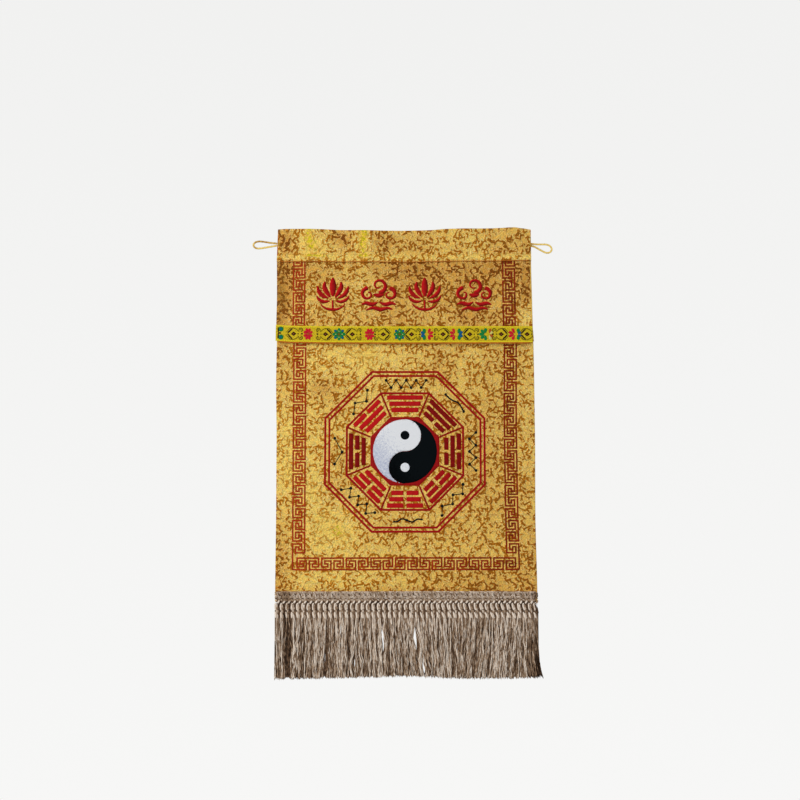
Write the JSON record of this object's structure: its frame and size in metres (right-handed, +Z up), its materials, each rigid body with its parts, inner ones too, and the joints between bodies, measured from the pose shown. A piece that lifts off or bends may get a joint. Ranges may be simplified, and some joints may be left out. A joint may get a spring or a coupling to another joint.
{
  "type": "embroidered wall tapestry",
  "caption": "Gold brocade wall hanging with a folded heading, a free valance edged in woven ribbon, an embroidered octagon and key border, a thread fringe and cord hanging loops.",
  "frame": {"origin": "middle of the line between the two top corners of the heading", "axes": "+Z up along the length of the cloth, +X to the viewer's right, -Y out of the face towards the viewer, +Y towards the wall"},
  "size_m": [0.3538, 0.0095, 0.5234],
  "materials": {
    "brocade": "satin-ground brocade in two golds, with satin-stitch embroidery",
    "ribbon": "woven figured ribbon, yellow ground",
    "fringe": "lustrous twisted thread",
    "cord": "twisted gold cord",
    "embroidery_red": "satin-stitch embroidery thread",
    "embroidery_black": "fill-stitch embroidery thread",
    "embroidery_white": "fill-stitch embroidery thread"
  },
  "bodies": {
    "root": {"panel": "brocade", "heading": "brocade", "valance": "brocade", "ribbon": "ribbon", "fringe": "fringe", "loop_left": "cord", "loop_right": "cord"}
  },
  "joints": []
}
